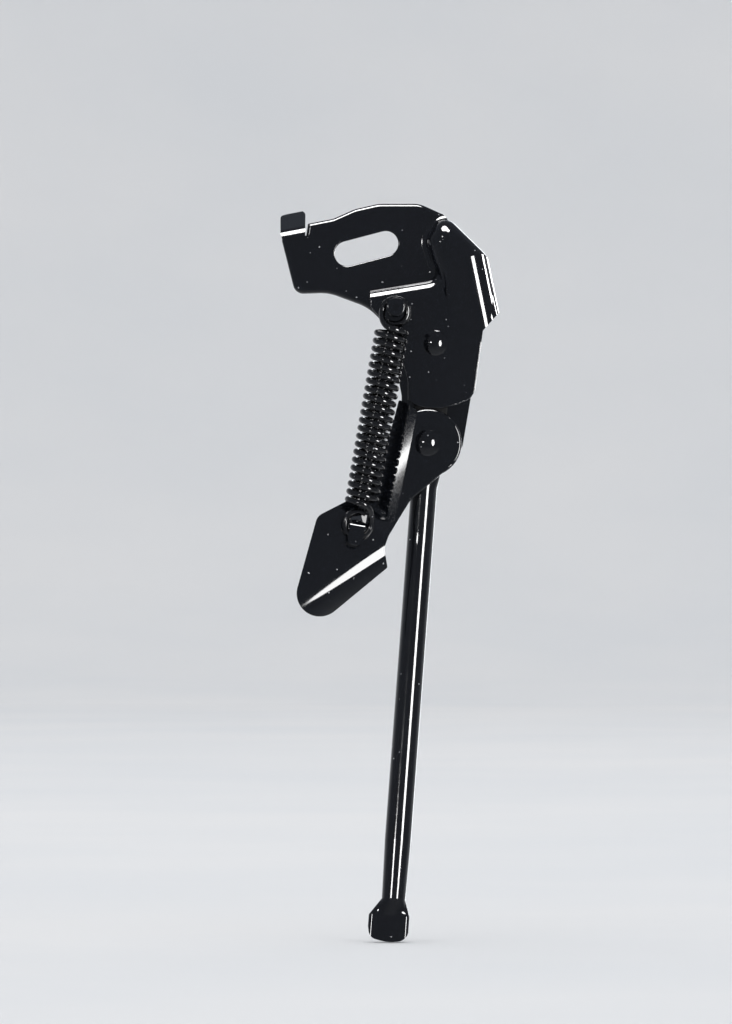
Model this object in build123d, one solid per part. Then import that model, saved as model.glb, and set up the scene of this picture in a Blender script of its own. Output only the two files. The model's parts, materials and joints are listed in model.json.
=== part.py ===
from build123d import *
import math
import os

os.makedirs("parts", exist_ok=True)

# Millimetres. X runs to the rear of the bicycle, Z runs up and -Y is the outer side.
# The origin is the middle of the axle slot, on the face that seats against the frame.
# A depth is a distance from that face towards the outer side, so depth d lies at Y = -d.

# Bracket sheet and the pocket between its two plates
SHEET = 3.0
POCKET = 5.4
FRONT_BACK = SHEET + POCKET
FRONT_FACE = FRONT_BACK + SHEET
BEND_OUTER = 4.5
BEND_INNER = 1.0
EDGE_ROLL = 1.5
LOWER_ROLL = 2.0

# Axle slot
SLOT_WIDTH = 10.5
SLOT_LENGTH = 27.3
SLOT_TILT = 14.8
SLOT_EDGE = 0.5

# Tab at the upper front corner, bent back towards the frame
TAB_BEND = 62.0
TAB_LINE_X = -31.1
TAB_LINE_Z = 4.4
TAB_LINE_TILT = 10.9
TAB_INNER_RADIUS = 2.0
TAB_LENGTH = 14.0

# Leg pivot, the leg's line and the lever pivot on it
PIVOT_X = 28.8
PIVOT_Z = -39.9
LEG_TILT = 4.3
PIVOT_GAP = 42.1

# Cam edges of the bracket's plates, centred on the leg pivot
CAM_RADIUS = 27.5
REAR_RADIUS = PIVOT_GAP + 3.9

# Fold at the rear of the bracket, whose sheet stands proud of the front plate
FOLD_RADIUS = 8.5
FOLD_RISE = 16.5
FOLD_EDGE = 6.5
DOME_FOOT = 3.0
PLATE_EDGE = 0.5

# Clearances
SIDE_GAP = 0.1
RUNNING = 0.05
LOCK_GAP = 0.15
STOP_GAP = 0.3

# Leg
HEAD_WIDTH = 14.5
HEAD_THICK = POCKET - 2 * SIDE_GAP
HEAD_LENGTH = 49.0
TUBE_RADIUS = 5.5
TUBE_START = 61.0
LEAN_START = 80.0
LEAN = 8.0
LEAN_RADIUS = 60.0
TAPER_START = 209.0
TAPER_RADIUS = 4.95
PINCH_START = 233.5
PINCH_END = 240.5
LEG_END = 251.5
FOOT_WIDTH = 17.1
FOOT_THICK = 3.6
FOOT_SHIFT = -1.3

# Lock lever
LEVER_THICK = 2.6
LEVER_BACK = FRONT_BACK + 0.2
LEVER_FACE = LEVER_BACK + LEVER_THICK
LEVER_DISC = 14.3
LEVER_LOCK = 5.0
LEVER_EDGE = 1.0
LEVER_ARM_TILT = 34.5
WING_TILT = 12.0
WING_SLOPE = 30.0
WING_RADIUS = 16.0
WING_START = 6.4
JOGGLE_START = 36.2
JOGGLE_RISE = 5.8
PAD_FACE = LEVER_FACE + JOGGLE_RISE
PAD_BACK = PAD_FACE - LEVER_THICK
PAD_CUT = 44.5
PAD_TILT = 12.0
PAD_BEND = 45.0
PAD_ROUND = 18.0
HOOK_WIDTH = 6.3
HOOK_THICK = 2.2
HOOK_REACH = 9.3

# Rivets
LEG_RIVET = 4.0
LEG_RIVET_HEAD = 5.3
LEG_RIVET_FLARE = 5.6
LEVER_RIVET = 3.5
LEVER_RIVET_HEAD = 5.5
LEVER_RIVET_FLARE = 5.0
DOME = 2.2

# Return spring and its pin
WIRE = 2.6
COIL_RADIUS = 6.0
LOOP_RADIUS = 5.35
COIL_PITCH = 3.37
COIL_TURNS = 22
COIL_START = 7.4
PIN_X = 12.3
PIN_Z = -25.2
PIN_SHANK = 2.4
PIN_TAIL = 3.1
PIN_NECK = 2.2
PIN_COLLAR = 4.2
PIN_HEAD = 4.0
PIN_HEAD_HEIGHT = 1.9
SPRING_DEPTH_TOP = 20.9
SPRING_DEPTH_END = 20.6
HOOK_X = -3.6
HOOK_Z = -115.9


def slab(face, near, far):
    """A front-view face made solid between two depths."""
    return extrude(Plane.XZ.offset(near) * face, far - near)


def rounded(*corners):
    """A face with straight sides whose corners (x, z, radius) are rounded."""
    points = [(x, z) for x, z, r in corners]
    radii = [r for x, z, r in corners]
    return make_face(FilletPolyline(*points, radius=radii, close=True))


def disc(x, z, radius, near, far):
    """A round plate or shank square to the front view."""
    return slab(Pos(x, z) * Circle(radius), near, far)


def dome(x, z, radius, height, base):
    """A low domed head that stands on a given depth."""
    ball = (radius**2 + height**2) / (2 * height)
    centre = Pos(x, -(base + height - ball), z)
    return centre * Sphere(ball) & disc(x, z, radius + 1, base, base + height + 1)


def on_leg(along, side=0.0):
    """The front-view point at a distance down the leg's line and to the rear of it."""
    tilt = math.radians(LEG_TILT)
    x = PIVOT_X - along * math.sin(tilt) + side * math.cos(tilt)
    z = PIVOT_Z - along * math.cos(tilt) - side * math.sin(tilt)
    return x, z


def turned(point, centre, angle):
    """A front-view point turned about a centre, anticlockwise from the outer side."""
    a = math.radians(angle)
    x, z = point[0] - centre[0], point[1] - centre[1]
    return centre[0] + x * math.cos(a) - z * math.sin(a), centre[1] + x * math.sin(a) + z * math.cos(a)


def face_edges(solid, depth):
    """The edges that lie flat at one depth."""
    return solid.edges().filter_by(lambda e: abs(e.bounding_box().min.Y + depth) < 1e-4
                                   and abs(e.bounding_box().max.Y + depth) < 1e-4)


LEVER_X, LEVER_Z = on_leg(PIVOT_GAP)

# The flat at the lower front corner of the front plate, where the lever locks
FLAT_TOP = (17.4, -63.8)
FLAT_END = (26.9, -69.9)

# The crease where the fold rises from the front plate
CREASE_TOP = (33.8, -23.1)
CREASE_END = (42.6, -33.2)


def tab_line(x):
    """Height of the line along which the tab is bent."""
    return TAB_LINE_Z + (x - TAB_LINE_X) * math.tan(math.radians(TAB_LINE_TILT))


# Bracket: axle plate, with the rear plate of the pocket below it
axle_plate = rounded(
    (-35.7, tab_line(-35.7), 0), (-25.4, tab_line(-25.4), 0), (-24.7, 10.5, 0.8),
    (-14.0, 12.6, 8), (-5.0, 16.6, 12), (5.0, 18.9, 15), (22.5, 18.9, 12), (32.0, 14.6, 3),
    (36.6, 9.8, 0), (44.0, 0.0, 0), (48.0, -20.0, 0), (45.0, -30.0, 0), (8.4, -32.6, 0),
    (0.8, -24.8, 20), (-16.0, -18.6, 20), (-30.0, -19.1, 4.5),
)
rear_strip = rounded(
    (8.0, -30.0, 0), (13.4, -54.5, 8), (14.8, -62.0, 8), (14.8, -100.0, 0), (37.6, -100.0, 0),
    (48.6, -35.3, 0), (40.0, -25.0, 0),
)
rear_plate = rear_strip & Pos(PIVOT_X, PIVOT_Z) * Circle(REAR_RADIUS)
rear_plate = fillet(rear_plate.vertices().sort_by(Axis.Y)[:2], 3)
base = slab(axle_plate, 0, SHEET)
top_edges = face_edges(base, SHEET).filter_by(lambda e: e.center().Z > 11 and -24 < e.center().X < 30)
base = fillet(top_edges, EDGE_ROLL)
low_edges = face_edges(base, SHEET).filter_by(lambda e: -29 < e.center().X < 8 and e.center().Z < -15)
base = fillet(low_edges, LOWER_ROLL)
base -= slab(Rot(0, 0, SLOT_TILT) * SlotOverall(SLOT_LENGTH, SLOT_WIDTH), -1, SHEET + 1)
slot_mouth = face_edges(base, SHEET).filter_by(lambda e: e.center().length < SLOT_LENGTH / 2 + SHEET)
base = fillet(slot_mouth, SLOT_EDGE)
base += slab(rear_plate, 0, SHEET)

# Tab
tab_tilt = math.radians(TAB_LINE_TILT)
tab_turn = math.radians(TAB_BEND)
tab_outer = TAB_INNER_RADIUS + SHEET
tab_run = Vector(math.cos(tab_turn), -math.sin(tab_turn)) * TAB_LENGTH


def tab_arc(radius, share):
    """A point on the tab's bend, a share of the way round it."""
    turn = tab_turn * share
    return Vector(radius * math.sin(turn), radius * math.cos(turn) - TAB_INNER_RADIUS)


tab_section = make_face([
    Line((-6, 0), (-6, SHEET)),
    Line((-6, SHEET), (0, SHEET)),
    ThreePointArc((0, SHEET), tab_arc(tab_outer, 0.5), tab_arc(tab_outer, 1)),
    Line(tab_arc(tab_outer, 1), tab_arc(tab_outer, 1) + tab_run),
    Line(tab_arc(tab_outer, 1) + tab_run, tab_arc(TAB_INNER_RADIUS, 1) + tab_run),
    Line(tab_arc(TAB_INNER_RADIUS, 1) + tab_run, tab_arc(TAB_INNER_RADIUS, 1)),
    ThreePointArc(tab_arc(TAB_INNER_RADIUS, 1), tab_arc(TAB_INNER_RADIUS, 0.5), (0, 0)),
    Line((0, 0), (-6, 0)),
])
tab_plane = Plane(
    origin=(TAB_LINE_X, 0, TAB_LINE_Z),
    x_dir=(-math.sin(tab_tilt), 0, math.cos(tab_tilt)),
    z_dir=(math.cos(tab_tilt), 0, math.sin(tab_tilt)),
)
tab_outline = rounded(
    (-34.1, -2.0, 0), (-36.2, 6.6, 3), (-36.4, 14.3, 1.5), (-25.8, 17.3, 2.2), (-25.8, 1.0, 0),
)
tab = extrude(tab_plane * tab_section, 15, both=True) & slab(tab_outline, -20, 10)

# Raised half of the bracket: shelf, dome and U-bend walls with the front plate between them
walls = rounded(
    (-30.0, -22.9, 0), (30.2, -13.0, 4), (25.0, 3.5, 6), (32.6, 14.4, 5), (50.9, -3.5, 9),
    (72.5, -110.0, 0), (-30.0, -110.0, 0),
)


def on_walls(edge):
    """Whether an edge belongs to a formed wall and not to the open sides."""
    middle = edge.center()
    return middle.X > -27 and middle.Z > -80


raised = slab(walls, 0, FRONT_FACE)
raised = fillet(face_edges(raised, FRONT_FACE).filter_by(on_walls), BEND_OUTER)
hollow = slab(offset(walls, -SHEET), SHEET, FRONT_BACK)
hollow = fillet(face_edges(hollow, FRONT_BACK).filter_by(on_walls), BEND_INNER)

# The fold rises from a crease in the front plate to a rounded ridge along the rear edge
crease_run = Vector(CREASE_END[0] - CREASE_TOP[0], CREASE_END[1] - CREASE_TOP[1]).normalized()
uphill = Vector(-crease_run.Y, crease_run.X)
rise = math.radians(FOLD_RISE)
fold_plane = Plane(
    origin=(CREASE_TOP[0], -FRONT_FACE, CREASE_TOP[1]),
    x_dir=(uphill.X * math.cos(rise), -math.sin(rise), uphill.Y * math.cos(rise)),
    z_dir=(-uphill.X * math.sin(rise), -math.cos(rise), -uphill.Y * math.sin(rise)),
)
crease_middle = Vector(*CREASE_TOP) + uphill * 100
crease_angle = math.degrees(math.atan2(uphill.Y, uphill.X))
crease_side = Pos(crease_middle.X, crease_middle.Y) * Rot(0, 0, crease_angle) * Rectangle(200, 400)
fold_outline = rounded(
    (30.2, -50.0, 0), (30.2, -13.0, 10), (25.0, 3.5, 6), (32.6, 14.4, 5), (50.9, -3.5, 9), (62.3, -60.0, 0),
)
ridge_outline = make_face(Polyline((38.0, 60.0), (59.3, -45.0), (20.0, -45.0), (20.0, 60.0), close=True))


def fold(outline, inset, near, bend, ridge):
    """The fold's sheet, or the space in it, up to a plane inset from its outer face."""
    above = extrude(fold_plane.offset(-inset) * Rectangle(300, 300), 60)
    body = slab(outline, near, 40) - above
    if bend > 0:
        body = fillet(body.edges().filter_by(lambda e: on_fold(e, inset) and on_walls(e)), bend)
    round_off = slab(Pos(-inset, 0) * ridge_outline, near, 40) - above
    ridge_edge = round_off.edges().filter_by(lambda e: on_fold(e, inset)).sort_by(Axis.X)[-1]
    round_off = fillet(ridge_edge, ridge)
    return body & round_off & slab(crease_side, near, 40)


def on_fold(edge, inset):
    """Whether an edge lies on the fold's sloping plane."""
    ends = [fold_plane.to_local_coords(edge @ share).Z for share in (0, 0.5, 1)]
    return all(abs(z + inset) < 1e-3 for z in ends)


raised += fold(fold_outline, 0, 0, FOLD_EDGE, FOLD_RADIUS)
back_round = slab(walls, 0, 40)
back_edges = face_edges(back_round, 0).filter_by(lambda e: on_walls(e) and e.center().X > 34)
back_round = fillet(back_edges, BEND_OUTER)
hollow += fold(offset(fold_outline, -SHEET), SHEET, SHEET, 0, FOLD_RADIUS - SHEET)
shell = (raised & back_round) - hollow

# The dome's front side runs out into the axle plate in a hollow curve, which fades out above the shelf
beside = Pos(19, 10) * Rectangle(30, 40) - walls
open_side = slab(beside, SHEET, FRONT_FACE)
foot_edges = face_edges(open_side, SHEET)
foot_edges = foot_edges.filter_by(lambda e: 22 < e.center().X < 33.5 and -9 < e.center().Z < 16)
foot_curve = open_side - fillet(foot_edges, DOME_FOOT)
foot_top = SHEET + DOME_FOOT
fade = make_face(Polyline((-12, SHEET), (2, foot_top), (40, foot_top), (40, 0), (-12, 0), close=True))
fade_plane = Plane(origin=(0, 0, 0), x_dir=(0, 0, 1), z_dir=(1, 0, 0))
foot_curve = foot_curve & extrude(fade_plane * fade, 80) & slab(axle_plate, 0, FRONT_FACE)

front_outline = rounded(
    (1.6, -5.0, 0), (15.0, 25.0, 0), (65.0, 25.0, 0), (63.6, -18.4, 0), (48.9, -34.7, 1.5),
    (44.2, -70.0, 0), FLAT_END + (0,), FLAT_TOP + (0,), (17.4, -55.4, 8),
    (14.5, -45.4, 8), (8.2, -32.3, 12), (1.6, -24.6, 2),
)
below = Pos(PIVOT_X, -68) * Rectangle(60, 30) - Pos(PIVOT_X, PIVOT_Z) * Circle(CAM_RADIUS)
front_outline = front_outline - below
heel = front_outline.vertices().filter_by(lambda v: v.Y < -55).sort_by(Axis.X)[-1]
front_outline = fillet(heel, 6)
plate_form = slab(front_outline, -1, FRONT_FACE)
plate_form = fillet(face_edges(plate_form, FRONT_FACE), PLATE_EDGE)
shell = shell & (plate_form + slab(front_outline & crease_side, -1, 40))

# Stop for the leg's head, turned out from the rear plate
stop_side = -HEAD_WIDTH / 2 - STOP_GAP
stop = make_face(Polyline(
    on_leg(5, stop_side - SHEET), on_leg(5, stop_side),
    on_leg(17.5, stop_side), on_leg(17.5, stop_side - SHEET), close=True,
))
bracket = base + foot_curve + tab + shell + slab(stop, SHEET / 2, FRONT_BACK - STOP_GAP)
bracket -= disc(PIVOT_X, PIVOT_Z, LEG_RIVET, -1, FRONT_FACE + 1)
bracket -= disc(PIN_X, PIN_Z, PIN_SHANK + RUNNING, SHEET + 1, FRONT_FACE + 1)

# Leg: flattened head, round tube that leans outwards, and pinched foot
leg_tilt = math.radians(LEG_TILT)
leg_axis = Vector(-math.sin(leg_tilt), 0, -math.cos(leg_tilt))
leg_across = Vector(math.cos(leg_tilt), 0, -math.sin(leg_tilt))
outward = Vector(0, -1, 0)
pivot = Vector(PIVOT_X, 0, PIVOT_Z)
head_depth = SHEET + POCKET / 2
tube_depth = SHEET + POCKET - SIDE_GAP - TUBE_RADIUS


def leg_point(along, depth):
    return pivot + leg_axis * along + outward * depth


def leg_plane(along, depth=0.0, lean=0.0):
    """A plane across the leg, with x to the rear and y to the outer side before it leans."""
    turn = math.radians(lean)
    down = leg_axis * math.cos(turn) + outward * math.sin(turn)
    return Plane(origin=leg_point(along, depth), x_dir=leg_across, z_dir=down)


head_section = Pos(0, head_depth) * SlotOverall(HEAD_WIDTH, HEAD_THICK)
head = extrude(leg_plane(0) * head_section, HEAD_LENGTH)
head_end = disc(PIVOT_X, PIVOT_Z, HEAD_WIDTH / 2, SHEET + SIDE_GAP, FRONT_BACK - SIDE_GAP)
head_end = fillet(head_end.edges().filter_by(GeomType.CIRCLE), 2.0)
neck = loft([
    leg_plane(HEAD_LENGTH) * head_section,
    leg_plane(TUBE_START) * (Pos(0, tube_depth) * Circle(TUBE_RADIUS)),
])
lean = math.radians(LEAN)
lean_arc_s = LEAN_RADIUS * math.sin(lean)
lean_arc_d = LEAN_RADIUS * (1 - math.cos(lean))
half_s = LEAN_RADIUS * math.sin(lean / 2)
half_d = LEAN_RADIUS * (1 - math.cos(lean / 2))
lean_from = LEAN_START + lean_arc_s


def lean_depth(along):
    """Depth of the tube's axis below the bend."""
    return tube_depth + lean_arc_d + (along - lean_from) * math.tan(lean)


bend_begin = leg_point(LEAN_START, tube_depth)
bend_end = leg_point(lean_from, tube_depth + lean_arc_d)
tube_path = Wire([
    Line(leg_point(TUBE_START, tube_depth), bend_begin),
    ThreePointArc(bend_begin, leg_point(LEAN_START + half_s, tube_depth + half_d), bend_end),
    Line(bend_end, leg_point(TAPER_START, lean_depth(TAPER_START))),
])
tube = sweep(leg_plane(TUBE_START, tube_depth) * Circle(TUBE_RADIUS), tube_path)


def lean_plane(along):
    return leg_plane(along, lean_depth(along), LEAN)


taper = loft([
    lean_plane(TAPER_START) * Circle(TUBE_RADIUS),
    lean_plane(PINCH_START) * Circle(TAPER_RADIUS),
])
foot_section = Pos(FOOT_SHIFT, 0) * SlotOverall(FOOT_WIDTH, FOOT_THICK)
pinch = loft([
    lean_plane(PINCH_START) * Circle(TAPER_RADIUS),
    lean_plane(PINCH_END) * foot_section,
])
foot = extrude(lean_plane(PINCH_END) * foot_section, (LEG_END - PINCH_END) / math.cos(lean))
foot_half = FOOT_WIDTH / 2
foot_outline = rounded(
    on_leg(PINCH_END - 40, FOOT_SHIFT - 30) + (0,), on_leg(PINCH_END - 40, FOOT_SHIFT + 30) + (0,),
    on_leg(PINCH_END, FOOT_SHIFT + foot_half + 1) + (0,),
    on_leg(LEG_END - 1.2, FOOT_SHIFT + foot_half - 0.6) + (5,), on_leg(LEG_END, FOOT_SHIFT + 0.5) + (8,),
    on_leg(LEG_END - 1.4, FOOT_SHIFT - foot_half + 1.0) + (4,),
    on_leg(PINCH_END, FOOT_SHIFT - foot_half - 1) + (0,),
)
foot = foot & slab(foot_outline, -60, 120)
leg = head + head_end + neck + tube + taper + pinch + foot
leg -= disc(PIVOT_X, PIVOT_Z, LEG_RIVET + RUNNING, 0, FRONT_FACE)
leg -= disc(LEVER_X, LEVER_Z, LEVER_RIVET, 0, FRONT_FACE)

# Rivets
def flared(x, z, radius, shank, depth):
    """A rivet's tail, spread flush into a countersink that starts at a depth."""
    deep = radius - shank
    return Pos(x, -(depth + deep / 2), z) * Rot(90, 0, 0) * Cone(radius, shank, deep)


leg_tail = flared(PIVOT_X, PIVOT_Z, LEG_RIVET_FLARE, LEG_RIVET, 0)
bracket -= leg_tail
leg_rivet = disc(PIVOT_X, PIVOT_Z, LEG_RIVET, 0, FRONT_FACE) + leg_tail
leg_rivet += dome(PIVOT_X, PIVOT_Z, LEG_RIVET_HEAD, DOME, FRONT_FACE)

flare = flared(LEVER_X, LEVER_Z, LEVER_RIVET_FLARE, LEVER_RIVET, SHEET + SIDE_GAP)
leg -= flare
lever_rivet = disc(LEVER_X, LEVER_Z, LEVER_RIVET, SHEET + SIDE_GAP, LEVER_FACE + SIDE_GAP) + flare
lever_rivet += dome(LEVER_X, LEVER_Z, LEVER_RIVET_HEAD, DOME, LEVER_FACE + SIDE_GAP)

# Lock lever. Its shoulder meets the bracket's flat when the lever turns LEVER_LOCK degrees back.
centre = (LEVER_X, LEVER_Z)
flat_run = Vector(FLAT_END[0] - FLAT_TOP[0], FLAT_END[1] - FLAT_TOP[1]).normalized()
flat_out = Vector(flat_run.Y, -flat_run.X)
shoulder_top = Vector(*FLAT_TOP) + flat_out * LOCK_GAP - flat_run * 2.4
shoulder_end = Vector(*FLAT_TOP) + flat_out * LOCK_GAP + flat_run * 5.0
shoulder_top = turned((shoulder_top.X, shoulder_top.Y), centre, LEVER_LOCK)
shoulder_end = turned((shoulder_end.X, shoulder_end.Y), centre, LEVER_LOCK)


def by_lever(x, z, radius):
    """A corner of the lever's outline, placed from the lever's pivot."""
    return LEVER_X + x, LEVER_Z + z, radius


lever_outline = rounded(
    shoulder_top + (0.8,), shoulder_end + (0,), by_lever(0, 10, 0), by_lever(12.0, -5, 0),
    by_lever(9.0, -10.5, 0), by_lever(-7.2, -24.1, 8), by_lever(-16.4, -39.1, 4), by_lever(-18.2, -44.1, 3),
    by_lever(-16.8, -52.3, 1.2), by_lever(-62.7, -90.1, 9.7), by_lever(-46.2, -30.7, 5),
    by_lever(-27.1, -20.9, 5), by_lever(-18.7, -5.0, 20), by_lever(-14.0, 10.5, 10),
)
lever_outline += Pos(LEVER_X, LEVER_Z) * Circle(LEVER_DISC)

arm_tilt = math.radians(LEVER_ARM_TILT)
arm = Vector(-math.sin(arm_tilt), 0, -math.cos(arm_tilt))
arm_across = Vector(-math.cos(arm_tilt), 0, math.sin(arm_tilt))
arm_plane = Plane(origin=(LEVER_X, 0, LEVER_Z), x_dir=arm, z_dir=arm_across)
joggle_end = JOGGLE_START + JOGGLE_RISE
pad_tilt = math.radians(PAD_TILT)
miter = LEVER_THICK * math.tan(math.radians(22.5))
pad_deep = LEVER_THICK / math.cos(pad_tilt)
back_step = (LEVER_THICK + miter - pad_deep) / (1 - math.tan(pad_tilt))


def pad_depth(along):
    """Depth of the pad's outer face at a distance along the arm."""
    return PAD_FACE + (along - joggle_end) * math.tan(pad_tilt)


def under_joggle(corner, top, radius):
    """All that lies behind the joggle's slope and the pad, which meet at a corner."""
    low = corner - JOGGLE_RISE - 16
    far = top + (110 - corner) * math.tan(pad_tilt)
    section = rounded(
        (low, top - JOGGLE_RISE - 16, 0), (corner, top, radius), (110, far, 0), (110, -40, 0), (low, -40, 0),
    )
    return extrude(arm_plane * section, 80, both=True)


# The lever's front edge is a wing that slopes back from the flat round the rivet
wing_tilt = math.radians(WING_TILT)
wing_slope = math.radians(WING_SLOPE)
wing_run = Vector(-math.sin(wing_tilt), 0, -math.cos(wing_tilt))
wing_across = Vector(math.cos(wing_tilt), 0, -math.sin(wing_tilt))
wing_plane = Plane(
    origin=Vector(LEVER_X, 0, LEVER_Z) - wing_across * WING_START, x_dir=wing_across, z_dir=wing_run,
)


def under_wing(top, radius):
    """All that lies behind the flat and the wing, for one side of the sheet."""
    corner = -radius * math.tan(wing_slope / 2)
    low = top - (corner + 40) * math.tan(wing_slope)
    section = rounded((80, top, 0), (corner, top, radius), (-40, low, 0), (-40, -60, 0), (80, -60, 0))
    return extrude(wing_plane * section, 120, both=True)


sheet_front = under_wing(LEVER_FACE, WING_RADIUS) + under_joggle(joggle_end, PAD_FACE, 4.5)
back_corner = joggle_end + back_step
sheet_back = under_wing(LEVER_BACK, WING_RADIUS - LEVER_THICK)
sheet_back += under_joggle(back_corner, pad_depth(back_corner) - pad_deep, 2)
lever_sheet = sheet_front - sheet_back


def beyond(start, end):
    """A front-view region between two distances along the arm."""
    middle = Vector(LEVER_X, 0, LEVER_Z) + arm * ((start + end) / 2)
    return Pos(middle.X, middle.Z) * Rot(0, 0, -LEVER_ARM_TILT) * Rectangle(200, end - start)


flat_form = slab(lever_outline, -30, LEVER_FACE)
flat_form = fillet(face_edges(flat_form, LEVER_FACE), LEVER_EDGE)
flat_form = flat_form & slab(beyond(-60, JOGGLE_START + 0.2), -30, 40)
joggle_form = slab(lever_outline & beyond(JOGGLE_START, PAD_CUT + 1), -30, 40)
upper = (lever_sheet & flat_form) + (lever_sheet & joggle_form)

# Pad, which rises outwards along the arm and is rounded over along its lower edge
pad_line = Vector(28.5, 0, 18.9).normalized()
pad_along = (pad_line + outward * (arm.dot(pad_line) * math.tan(pad_tilt))).normalized()
pad_normal = outward * math.cos(pad_tilt) - arm * math.sin(pad_tilt)
pad_down = pad_along.cross(pad_normal)
pad_from = Vector(-50.0, 0, -60.7)
pad_plane = Plane(
    origin=Vector(LEVER_X, 0, LEVER_Z) + pad_from + outward * pad_depth(arm.dot(pad_from)),
    x_dir=pad_down, z_dir=pad_down.cross(pad_normal),
)
pad_inner = PAD_ROUND - LEVER_THICK
pad_turn = math.radians(PAD_BEND)
pad_run = Vector(math.cos(pad_turn), -math.sin(pad_turn)) * 20


def pad_arc(radius, share):
    """A point on the rounding of the pad's lower edge, a share of the way round it."""
    turn = pad_turn * share
    return Vector(radius * math.sin(turn), radius * math.cos(turn) - PAD_ROUND)


pad_section = make_face([
    Line((-80, -LEVER_THICK), (-80, 0)),
    Line((-80, 0), pad_arc(PAD_ROUND, 0)),
    ThreePointArc(pad_arc(PAD_ROUND, 0), pad_arc(PAD_ROUND, 0.5), pad_arc(PAD_ROUND, 1)),
    Line(pad_arc(PAD_ROUND, 1), pad_arc(PAD_ROUND, 1) + pad_run),
    Line(pad_arc(PAD_ROUND, 1) + pad_run, pad_arc(pad_inner, 1) + pad_run),
    Line(pad_arc(pad_inner, 1) + pad_run, pad_arc(pad_inner, 1)),
    ThreePointArc(pad_arc(pad_inner, 1), pad_arc(pad_inner, 0.5), pad_arc(pad_inner, 0)),
    Line(pad_arc(pad_inner, 0), (-80, -LEVER_THICK)),
])
pad = extrude(pad_plane * pad_section, 90, both=True) & slab(lever_outline & beyond(PAD_CUT, 140), -30, 60)
lock_lever = upper + pad

# Spring line, from the pin's neck to the hook
pin = Vector(PIN_X, -SPRING_DEPTH_TOP, PIN_Z)
hook = Vector(HOOK_X, -SPRING_DEPTH_END, HOOK_Z)
spring_axis = (hook - pin).normalized()
loop_inner = LOOP_RADIUS - WIRE / 2
loop_top = pin + spring_axis * (loop_inner - PIN_NECK - RUNNING)
spring_side = Vector(-spring_axis.Z, 0, spring_axis.X).normalized()
spring_plane = Plane(origin=loop_top, x_dir=spring_side, z_dir=spring_axis)
loop_gap = (hook - loop_top).length

# Hook on the lever, lanced outwards so that the spring's lower loop passes behind it
hook_run = Vector(spring_axis.X, 0, spring_axis.Z).normalized()
hook_plane = Plane(origin=(HOOK_X, 0, HOOK_Z), x_dir=hook_run, z_dir=hook_run.cross(outward))
hook_front = SPRING_DEPTH_END + WIRE / 2 + 0.25 + HOOK_THICK
hook_back = hook_front - HOOK_THICK
hook_section = rounded(
    (-4.2, PAD_FACE - 2.2, 0), (0.2, hook_front, 2.2), (HOOK_REACH, hook_front, 1.0),
    (HOOK_REACH, hook_back, 0.6), (1.7, hook_back, 1.0), (-1.6, PAD_FACE - 2.1, 0),
)
hook_angle = math.degrees(math.atan2(-hook_run.Z, -hook_run.X))


def tongue_outline(length):
    """A round-ended strip of the tongue's width, measured back from the tongue's tip."""
    strip = Pos(length / 2 - HOOK_REACH, 0) * SlotOverall(length, HOOK_WIDTH)
    return Pos(HOOK_X, HOOK_Z) * Rot(0, 0, hook_angle) * strip


hook_tongue = extrude(hook_plane * hook_section, HOOK_WIDTH, both=True) & slab(tongue_outline(30), 0, 60)
lock_lever = lock_lever - slab(tongue_outline(10), PAD_BACK - 2, hook_back) + hook_tongue
lock_lever -= disc(LEVER_X, LEVER_Z, LEVER_RIVET + RUNNING, 0, FRONT_FACE + 2)

# Spring pin
spring_pin = disc(PIN_X, PIN_Z, PIN_SHANK, FRONT_BACK - 1.8, FRONT_FACE + 1)
spring_pin += disc(PIN_X, PIN_Z, PIN_TAIL, FRONT_BACK - 1.8 - RUNNING, FRONT_BACK - RUNNING)
neck_back = SPRING_DEPTH_TOP - WIRE / 2 - 0.35
neck_front = SPRING_DEPTH_TOP + WIRE / 2 + 0.35
spring_pin += disc(PIN_X, PIN_Z, PIN_COLLAR, FRONT_FACE + RUNNING, neck_back)
spring_pin += disc(PIN_X, PIN_Z, PIN_NECK, neck_back - 1, neck_front + 1)
pin_head = disc(PIN_X, PIN_Z, PIN_HEAD, neck_front, neck_front + PIN_HEAD_HEIGHT)
pin_head = fillet(face_edges(pin_head, neck_front + PIN_HEAD_HEIGHT), 0.8)
spring_pin += pin_head
spring_pin -= disc(PIN_X, PIN_Z, 1.2, neck_front + PIN_HEAD_HEIGHT - 0.7, neck_front + PIN_HEAD_HEIGHT + 1)

# Return spring, wound along its own z axis with a full loop at each end
coil_end = COIL_START + COIL_PITCH * COIL_TURNS
front = Rot(0, 0, 90)
helix = Helix(COIL_PITCH, COIL_PITCH * COIL_TURNS, COIL_RADIUS, lefthand=True)
coil_path = front * (Pos(0, 0, COIL_START) * helix)


def wire(path, frenet=False):
    """Round wire along a path."""
    start = Plane(origin=path @ 0, z_dir=path % 0)
    return sweep(start * Circle(WIRE / 2), path, is_frenet=frenet)


top_turn = Spline(
    (-LOOP_RADIUS, 0, 0), coil_path @ 0, tangents=[(0, 0, 1), coil_path % 0],
)
end_turn = Spline(
    coil_path @ 1, (LOOP_RADIUS, 0, loop_gap), tangents=[coil_path % 1, (0, 0, 1)],
)
loop_plane = Plane(origin=(0, 0, 0), x_dir=(-1, 0, 0), z_dir=(0, -1, 0))
top_loop = loop_plane * CenterArc((0, 0), LOOP_RADIUS, 0, 300)
end_plane = Plane(origin=(0, 0, loop_gap), x_dir=(1, 0, 0), z_dir=(0, -1, 0))
end_loop = end_plane * CenterArc((0, 0), LOOP_RADIUS, 0, 300)
spring = wire(coil_path, True) + wire(top_turn) + wire(end_turn) + wire(top_loop) + wire(end_loop)
return_spring = spring_plane * spring

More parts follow.
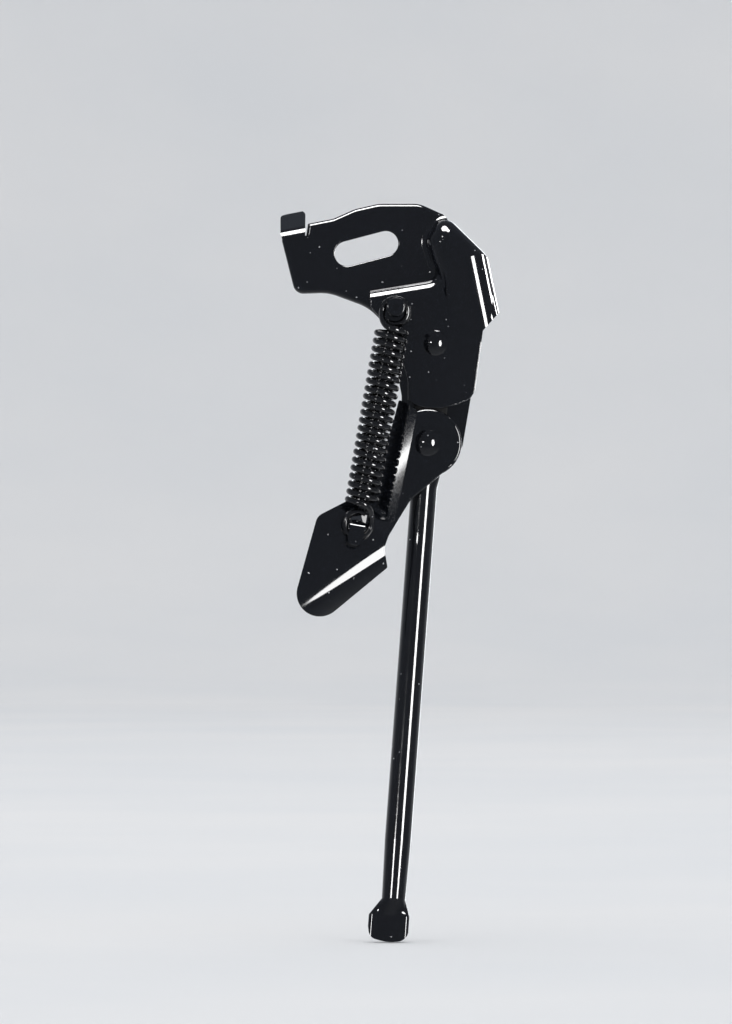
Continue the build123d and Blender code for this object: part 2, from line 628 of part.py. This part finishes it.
nodes = {
    "bracket": bracket,
    "leg": leg,
    "lock_lever": lock_lever,
    "leg_pivot_rivet": leg_rivet,
    "lever_pivot_rivet": lever_rivet,
    "spring_pin": spring_pin,
    "return_spring": return_spring,
}
for name, shape in nodes.items():
    solids = shape.solids()
    print(name, len(solids), round(sum(s.volume for s in solids), 1), shape.is_valid)
    export_step(solids[0] if len(solids) == 1 else shape, f"parts/{name}.step")
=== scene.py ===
import json
import math

import bmesh
import bpy
from mathutils import Matrix, Vector

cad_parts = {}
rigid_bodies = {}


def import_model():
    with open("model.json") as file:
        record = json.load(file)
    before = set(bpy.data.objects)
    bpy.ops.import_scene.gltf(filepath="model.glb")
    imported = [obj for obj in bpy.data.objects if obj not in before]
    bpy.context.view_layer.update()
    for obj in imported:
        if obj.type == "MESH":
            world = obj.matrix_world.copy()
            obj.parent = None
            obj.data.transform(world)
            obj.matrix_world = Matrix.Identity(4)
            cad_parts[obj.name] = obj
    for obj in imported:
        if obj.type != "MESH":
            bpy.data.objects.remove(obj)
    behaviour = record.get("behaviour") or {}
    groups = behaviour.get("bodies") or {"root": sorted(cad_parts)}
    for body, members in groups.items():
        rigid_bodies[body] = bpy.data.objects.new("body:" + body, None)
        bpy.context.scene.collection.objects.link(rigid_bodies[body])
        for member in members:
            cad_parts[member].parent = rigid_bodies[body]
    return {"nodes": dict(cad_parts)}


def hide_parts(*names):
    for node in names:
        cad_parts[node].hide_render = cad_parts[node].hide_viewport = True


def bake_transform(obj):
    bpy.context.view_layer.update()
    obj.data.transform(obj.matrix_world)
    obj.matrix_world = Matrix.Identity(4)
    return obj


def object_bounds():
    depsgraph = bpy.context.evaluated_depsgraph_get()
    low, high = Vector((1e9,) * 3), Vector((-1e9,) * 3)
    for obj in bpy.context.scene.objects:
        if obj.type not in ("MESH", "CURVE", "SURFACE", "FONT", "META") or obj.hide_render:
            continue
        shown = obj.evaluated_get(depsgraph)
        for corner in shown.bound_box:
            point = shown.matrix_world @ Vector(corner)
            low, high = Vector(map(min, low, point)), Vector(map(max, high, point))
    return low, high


for old in list(bpy.data.objects):
    bpy.data.objects.remove(old)

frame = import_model()
nodes = frame["nodes"]
cad_low, cad_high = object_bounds()

# Sizes of the return spring, in metres, as in the solids
WIRE = 0.0026
COIL_RADIUS = 0.006
LOOP_RADIUS = 0.00535
COIL_PITCH = 0.00337
COIL_TURNS = 22
COIL_START = 0.0074
PIN = Vector((0.0123, -0.0209, -0.0252))
HOOK = Vector((-0.0036, -0.0206, -0.1159))
PIN_TO_LOOP = 0.0018

# Fineness of the spring's mesh
WIRE_SIDES = 16
STEPS_PER_TURN = 28
LEAD_STEPS = 14
LOOP_STEPS = 30
LOOP_STEP_ANGLE = 10
LEAD_PULL = 1.1
CUT_END_SHARE = 0.86
SLOPE_SHARE = 1e-5

# Enamel: scales are in features per metre
PATCH_SCALE = 60.0
PEEL_SCALE = 420.0
GRAIN_SCALE = 900.0
DUST_SCALE = 1900.0
SPECK_SCALE = 260.0
SPECK_SIZE = 0.1
SPECK_EDGE = 0.4
SPECKLESS = 0.5
SPECK_COVER = 0.8
SPECK_HEIGHT = 1.6
DUST_COLOUR = (0.64, 0.65, 0.67)
COAT = 0.5
COAT_ROUGHNESS = 0.04
BUMP_STRENGTH = 0.35
BUMP_DISTANCE = 0.00012
HEAD_LOW = -0.1
HEAD_HIGH = -0.09

# Stage, in metres
STAGE_SIDES = 96
STAGE_EYE = 0.5
STAGE_FLAT = 3.7
STAGE_TOP = 4.5
STAGE_GAP = 0.0002
COVE_RADIUS = 2.4
COVE_STEPS = 12

# Camera, in metres and millimetres of sensor
FRAME_HEIGHT = 0.4301
DISTANCE = 3.0
SENSOR = 36.0
CAMERA_PLACE = (-0.0002, -DISTANCE - 0.01, -0.1109)


# Shader nodes

def material(name):
    """A new node material with its shader and a position in metres."""
    mat = bpy.data.materials.new(name)
    mat.use_nodes = True
    tree = mat.node_tree
    shader = tree.nodes["Principled BSDF"]
    place = tree.nodes.new("ShaderNodeTexCoord").outputs["Object"]
    return mat, tree, shader, place


def noise(tree, place, scale, detail, rough=0.5):
    node = tree.nodes.new("ShaderNodeTexNoise")
    node.inputs["Scale"].default_value = scale
    node.inputs["Detail"].default_value = detail
    node.inputs["Roughness"].default_value = rough
    tree.links.new(place, node.inputs["Vector"])
    return node.outputs["Fac"]


def spread(tree, value, low, high, to_low, to_high):
    """A value mapped from one range to another."""
    node = tree.nodes.new("ShaderNodeMapRange")
    node.inputs["From Min"].default_value = low
    node.inputs["From Max"].default_value = high
    node.inputs["To Min"].default_value = to_low
    node.inputs["To Max"].default_value = to_high
    tree.links.new(value, node.inputs["Value"])
    return node.outputs["Result"]


def maths(tree, kind, a, b):
    node = tree.nodes.new("ShaderNodeMath")
    node.operation = kind
    for socket, value in zip(node.inputs, (a, b)):
        if isinstance(value, (int, float)):
            socket.default_value = value
        else:
            tree.links.new(value, socket)
    return node.outputs["Value"]


def times(tree, a, b):
    return maths(tree, "MULTIPLY", a, b)


def plus(tree, a, b):
    return maths(tree, "ADD", a, b)


def parts_of(tree, place):
    """The X, Y and Z of a position or direction."""
    node = tree.nodes.new("ShaderNodeSeparateXYZ")
    tree.links.new(place, node.inputs["Vector"])
    return node.outputs


def blend_colour(tree, share, first, second):
    node = tree.nodes.new("ShaderNodeMix")
    node.data_type = "RGBA"
    node.inputs["A"].default_value = first + (1.0,)
    node.inputs["B"].default_value = second + (1.0,)
    tree.links.new(share, node.inputs["Factor"])
    return node.outputs["Result"]


# Materials

def specks(tree, place):
    """Small round specks, few and far between."""
    cells = tree.nodes.new("ShaderNodeTexVoronoi")
    cells.inputs["Scale"].default_value = SPECK_SCALE
    tree.links.new(place, cells.inputs["Vector"])
    dots = spread(tree, cells.outputs["Distance"], SPECK_SIZE, SPECK_SIZE * SPECK_EDGE, 0.0, 1.0)
    draw = tree.nodes.new("ShaderNodeSeparateColor")
    tree.links.new(cells.outputs["Color"], draw.inputs["Color"])
    chosen = maths(tree, "GREATER_THAN", draw.outputs["Red"], SPECKLESS)
    return times(tree, dots, chosen)


def gloss_black(name, tone, dusty, rough_low, rough_high, peel, dull=None):
    """Gloss black enamel: a near-black film with orange peel, uneven gloss and dust specks."""
    mat, tree, shader, place = material(name)
    patches = noise(tree, place, PATCH_SCALE, 3.0)
    grain = noise(tree, place, GRAIN_SCALE, 2.0)
    waves = noise(tree, place, PEEL_SCALE, 2.0, 0.4)
    nibs = specks(tree, place)

    dust = spread(tree, noise(tree, place, DUST_SCALE, 1.0), 0.66, 0.8, 0.0, 1.0)
    haze = plus(tree, times(tree, dust, dusty * 0.25), times(tree, patches, 0.0025))
    cover = maths(tree, "MAXIMUM", times(tree, nibs, SPECK_COVER), haze)
    tree.links.new(blend_colour(tree, cover, tone, DUST_COLOUR), shader.inputs["Base Color"])

    uneven = spread(tree, patches, 0.35, 0.65, rough_low, rough_high)
    rough = plus(tree, uneven, times(tree, cover, 0.35))
    shader.inputs["Coat Weight"].default_value = COAT
    shader.inputs["Coat Roughness"].default_value = COAT_ROUGHNESS
    shader.inputs["Specular IOR Level"].default_value = 0.5
    if dull:
        worn = dull(tree, place)
        rough = plus(tree, rough, times(tree, worn, 0.9))
        whole = maths(tree, "SUBTRACT", 1.0, worn)
        tree.links.new(times(tree, whole, COAT), shader.inputs["Coat Weight"])
    tree.links.new(rough, shader.inputs["Roughness"])

    fine = plus(tree, times(tree, grain, peel * 0.3), times(tree, nibs, SPECK_HEIGHT))
    bump = tree.nodes.new("ShaderNodeBump")
    bump.inputs["Strength"].default_value = BUMP_STRENGTH
    bump.inputs["Distance"].default_value = BUMP_DISTANCE
    tree.links.new(plus(tree, times(tree, waves, peel), fine), bump.inputs["Height"])
    tree.links.new(bump.outputs["Normal"], shader.inputs["Normal"])
    return mat


def rubbed_head(tree, place):
    """How dull the leg is at its head, which rubs between the bracket's plates."""
    return spread(tree, parts_of(tree, place)["Z"], HEAD_LOW, HEAD_HIGH, 0.0, 1.0)


def pale_stage():
    """Matt pale paint with faint clouds."""
    mat, tree, shader, place = material("pale_stage")
    share = spread(tree, noise(tree, place, 3.0, 3.0), 0.3, 0.7, 0.0, 1.0)
    paint = blend_colour(tree, share, (0.76, 0.77, 0.78), (0.8, 0.8, 0.8))
    tree.links.new(paint, shader.inputs["Base Color"])
    shader.inputs["Roughness"].default_value = 0.9
    shader.inputs["Specular IOR Level"].default_value = 0.0
    return mat


bracket_enamel = gloss_black("black_enamel", (0.0035, 0.004, 0.006), 0.03, 0.07, 0.11, 0.35)
lever_enamel = gloss_black("lever_enamel", (0.0035, 0.0042, 0.006), 0.035, 0.035, 0.055, 0.03)
leg_enamel = gloss_black("leg_enamel", (0.004, 0.0043, 0.006), 0.04, 0.08, 0.12, 0.4, rubbed_head)
rivet_enamel = gloss_black("rivet_enamel", (0.0038, 0.0042, 0.006), 0.03, 0.07, 0.11, 0.35)
spring_enamel = gloss_black("spring_enamel", (0.004, 0.004, 0.0048), 0.04, 0.1, 0.16, 0.8)

for name, mat in {
    "bracket": bracket_enamel,
    "leg": leg_enamel,
    "lock_lever": lever_enamel,
    "leg_pivot_rivet": rivet_enamel,
    "lever_pivot_rivet": rivet_enamel,
    "spring_pin": rivet_enamel,
}.items():
    nodes[name].data.materials.clear()
    nodes[name].data.materials.append(mat)


# Return spring: round wire along one line, from loop to loop

axis = (HOOK - PIN).normalized()
loop_top = PIN + axis * PIN_TO_LOOP
loop_gap = (HOOK - loop_top).length
side = Vector((-axis.z, 0, axis.x)).normalized()
front = axis.cross(side)


def new_object(name, mesh):
    """A scene object from a bmesh, which is freed."""
    data = bpy.data.meshes.new(name)
    mesh.to_mesh(data)
    mesh.free()
    piece = bpy.data.objects.new(name, data)
    bpy.context.scene.collection.objects.link(piece)
    return piece


def hermite(a, b, slope_a, slope_b, count):
    """Points from a to b with the given slopes, without the last one."""
    points = []
    for i in range(count):
        t = i / count
        points.append(
            a * (2 * t**3 - 3 * t**2 + 1) + slope_a * (t**3 - 2 * t**2 + t)
            + b * (3 * t**2 - 2 * t**3) + slope_b * (t**3 - t**2)
        )
    return points


def coil_point(share):
    """A point of the coil's helix, by its share of the coil's length."""
    turn = math.radians(90 - 360 * COIL_TURNS * share)
    along = COIL_START + COIL_PITCH * COIL_TURNS * share
    return Vector((COIL_RADIUS * math.cos(turn), COIL_RADIUS * math.sin(turn), along))


def spring_line():
    """The wire's middle line in the spring's own frame: side, front and axis."""
    r = LOOP_RADIUS
    straight = Vector((0, 0, 1))
    count = COIL_TURNS * STEPS_PER_TURN
    line = []
    for i in range(LOOP_STEPS):
        turn = math.radians(LOOP_STEP_ANGLE * (LOOP_STEPS - i))
        line.append(Vector((-r * math.cos(turn), 0, -r * math.sin(turn))))
    start = Vector((-r, 0, 0))
    first = coil_point(0)
    slope = (coil_point(SLOPE_SHARE) - first).normalized()
    reach = (first - start).length * LEAD_PULL
    line += hermite(start, first, straight * reach, slope * reach, LEAD_STEPS)
    line += [coil_point(i / count) for i in range(count)]
    last = coil_point(1)
    slope = (last - coil_point(1 - SLOPE_SHARE)).normalized()
    end = Vector((r, 0, loop_gap))
    reach = (end - last).length * LEAD_PULL
    line += hermite(last, end, slope * reach, straight * reach, LEAD_STEPS)
    for i in range(LOOP_STEPS + 1):
        turn = math.radians(LOOP_STEP_ANGLE * i)
        line.append(Vector((r * math.cos(turn), 0, loop_gap + r * math.sin(turn))))
    return line


def round_wire(name, line, radius, sides):
    """A round wire mesh along a line, narrowed at its cut ends."""
    mesh = bmesh.new()
    turns = [2 * math.pi * k / sides for k in range(sides)]
    rings = []
    across = None
    for i, point in enumerate(line):
        before = line[max(i - 1, 0)]
        after = line[min(i + 1, len(line) - 1)]
        along = (after - before).normalized()
        if across is None:
            across = along.orthogonal().normalized()
        across = (across - along * across.dot(along)).normalized()
        other = along.cross(across)
        size = radius * (CUT_END_SHARE if i in (0, len(line) - 1) else 1.0)
        rings.append([
            mesh.verts.new(point + (across * math.cos(a) + other * math.sin(a)) * size)
            for a in turns
        ])
    for a, b in zip(rings, rings[1:]):
        for k in range(sides):
            mesh.faces.new((a[k], a[(k + 1) % sides], b[(k + 1) % sides], b[k]))
    mesh.faces.new(rings[0][::-1])
    mesh.faces.new(rings[-1])
    bmesh.ops.recalc_face_normals(mesh, faces=mesh.faces)
    wire = new_object(name, mesh)
    for face in wire.data.polygons:
        face.use_smooth = len(face.vertices) == 4
    return wire


line = [loop_top + side * p.x + front * p.y + axis * p.z for p in spring_line()]
spring = round_wire("spring_wire", line, WIRE / 2, WIRE_SIDES)
spring.data.materials.append(spring_enamel)
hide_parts("return_spring")
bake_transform(spring)


# Stage: a round pale floor that curves up into a backdrop all round

def stage_sheet(name, profile, mat, closed=False):
    """A round sheet from a profile of radius and height, its middle closed or open."""
    mesh = bmesh.new()
    turns = [2 * math.pi * i / STAGE_SIDES for i in range(STAGE_SIDES)]
    rings = [
        [mesh.verts.new((r * math.cos(a), r * math.sin(a), floor_level + z)) for a in turns]
        for r, z in profile
    ]
    for inner, outer in zip(rings, rings[1:]):
        for i in range(STAGE_SIDES):
            k = (i + 1) % STAGE_SIDES
            mesh.faces.new((inner[i], outer[i], outer[k], inner[k])).smooth = True
    if closed:
        mesh.faces.new(rings[0])
    bmesh.ops.recalc_face_normals(mesh, faces=mesh.faces)
    sheet = new_object(name, mesh)
    sheet.data.materials.append(mat)
    sheet.visible_glossy = False


floor_level = cad_low[2] - STAGE_GAP
stage_paint = pale_stage()
bends = [math.radians(90 * i / COVE_STEPS) for i in range(COVE_STEPS + 1)]
cove = [
    (STAGE_FLAT + COVE_RADIUS * math.sin(a), COVE_RADIUS * (1 - math.cos(a)))
    for a in bends
]
stage_sheet("stage_floor", [(STAGE_EYE, 0.0), (STAGE_FLAT, 0.0)], stage_paint, closed=True)
stage_sheet("stage_backdrop", cove + [(STAGE_FLAT + COVE_RADIUS, STAGE_TOP)], stage_paint)


# Light

def softbox(name, place, target, width, height, power, on_gloss=True):
    """A soft light that makes only reflections, or one that makes none."""
    light = bpy.data.lights.new(name, "AREA")
    light.shape = "ELLIPSE" if on_gloss else "RECTANGLE"
    light.size = width
    light.size_y = height
    light.energy = power
    lamp = bpy.data.objects.new(name, light)
    lamp.location = place
    lamp.rotation_euler = (Vector(target) - Vector(place)).to_track_quat("-Z", "Y").to_euler()
    lamp.visible_camera = False
    lamp.visible_diffuse = not on_gloss
    lamp.visible_glossy = on_gloss
    bpy.context.scene.collection.objects.link(lamp)
    return lamp


def strip_light(name, first, last, target, thick, power):
    """A long thin light between two points, which makes only reflections."""
    ends = Vector(last) - Vector(first)
    middle = (Vector(first) + Vector(last)) / 2
    lamp = softbox(name, middle, target, ends.length, thick, power)
    lamp.data.shape = "RECTANGLE"
    back = (lamp.location - Vector(target)).normalized()
    along = ends.normalized()
    up = back.cross(along).normalized()
    lamp.rotation_euler = Matrix((along, up, along.cross(up))).transposed().to_euler()
    return lamp


def shines_on(lamp, pieces):
    """Keeps a light to some of the pieces."""
    lit = bpy.data.collections.new(lamp.name + "_pieces")
    for piece in pieces:
        lit.objects.link(piece)
    lamp.light_linking.receiver_collection = lit


left = softbox("light_left", (-0.696, -1.448, 0.085), (0.005, -0.01, -0.1), 0.3, 0.18, 3.4)
strip = strip_light(
    "light_strip", (-0.088, -1.607, -0.048), (-1.147, -1.087, 0.158),
    (0.013, -0.011, -0.091), 0.014, 1.2,
)
right = softbox("light_right", (0.358, -0.495, -0.065), (0.005, -0.01, -0.065), 0.17, 0.38, 4)
pad = softbox("light_pad", (0.355, -0.495, -0.066), (0.005, -0.01, -0.066), 0.262, 0.43, 4.5)
side_on = softbox("light_side", (0.83, 0.13, -0.01), (0.045, -0.01, -0.02), 0.16, 0.5, 7)
rim = softbox("light_rim", (0.55, 0.85, -0.01), (0.045, -0.01, -0.02), 0.4, 0.5, 5)
top = softbox("light_top", (-0.2, -0.9, 1.5), (0.0, 0.0, -0.05), 1.4, 1.2, 120)
softbox("light_stage", (0.0, 0.0, 3.9), (0.0, 0.001, 0.0), 9.0, 9.0, 300, on_gloss=False)

bracket = nodes["bracket"]
lever = nodes["lock_lever"]
small = [nodes[name] for name in ("leg", "leg_pivot_rivet", "lever_pivot_rivet", "spring_pin")]
others = [bracket] + small + [spring]
for lamp, pieces in (
    (left, others),
    (right, others),
    (strip, [lever]),
    (pad, [lever]),
    (top, [bracket, lever]),
    (side_on, [bracket]),
    (rim, [bracket]),
):
    shines_on(lamp, pieces)


def studio_world():
    """What the gloss mirrors: a dim room, paler below and behind, with a bright stripe behind."""
    world = bpy.data.worlds.new("studio")
    world.use_nodes = True
    sky = world.node_tree
    background = sky.nodes["Background"]
    way = parts_of(sky, sky.nodes.new("ShaderNodeTexCoord").outputs["Generated"])
    x, y, z = way["X"], way["Y"], way["Z"]

    below = times(
        sky,
        spread(sky, z, -0.3, -0.75, 0.0, 1.0),
        spread(sky, y, -0.3, 0.4, 0.25, 1.0),
    )
    behind = times(
        sky,
        spread(sky, maths(sky, "ABSOLUTE", z, 0.0), 0.25, 0.45, 1.0, 0.0),
        spread(sky, y, 0.1, 0.9, 0.0, 0.75),
    )
    glow = maths(sky, "MAXIMUM", below, behind)
    colour = blend_colour(sky, glow, (0.148, 0.162, 0.19), (0.74, 0.76, 0.78))
    sky.links.new(colour, background.inputs["Color"])

    stripe = maths(
        sky, "MINIMUM",
        spread(sky, x, 0.08, 0.14, 0.0, 1.0),
        spread(sky, x, 0.3, 0.36, 1.0, 0.0),
    )
    stripe = times(sky, stripe, spread(sky, y, 0.75, 0.85, 0.0, 5.0))
    sky.links.new(plus(sky, stripe, 1.0), background.inputs["Strength"])
    return world


bpy.context.scene.world = studio_world()


# Camera

camera = bpy.data.cameras.new("camera")
camera.sensor_fit = "AUTO"
camera.sensor_width = SENSOR
camera.lens = SENSOR * DISTANCE / FRAME_HEIGHT
camera.clip_end = 50.0
view = bpy.data.objects.new("camera", camera)
view.location = CAMERA_PLACE
view.rotation_euler = (math.radians(90), 0, 0)
bpy.context.scene.collection.objects.link(view)
bpy.context.scene.camera = view
bpy.context.scene.view_settings.view_transform = "Standard"
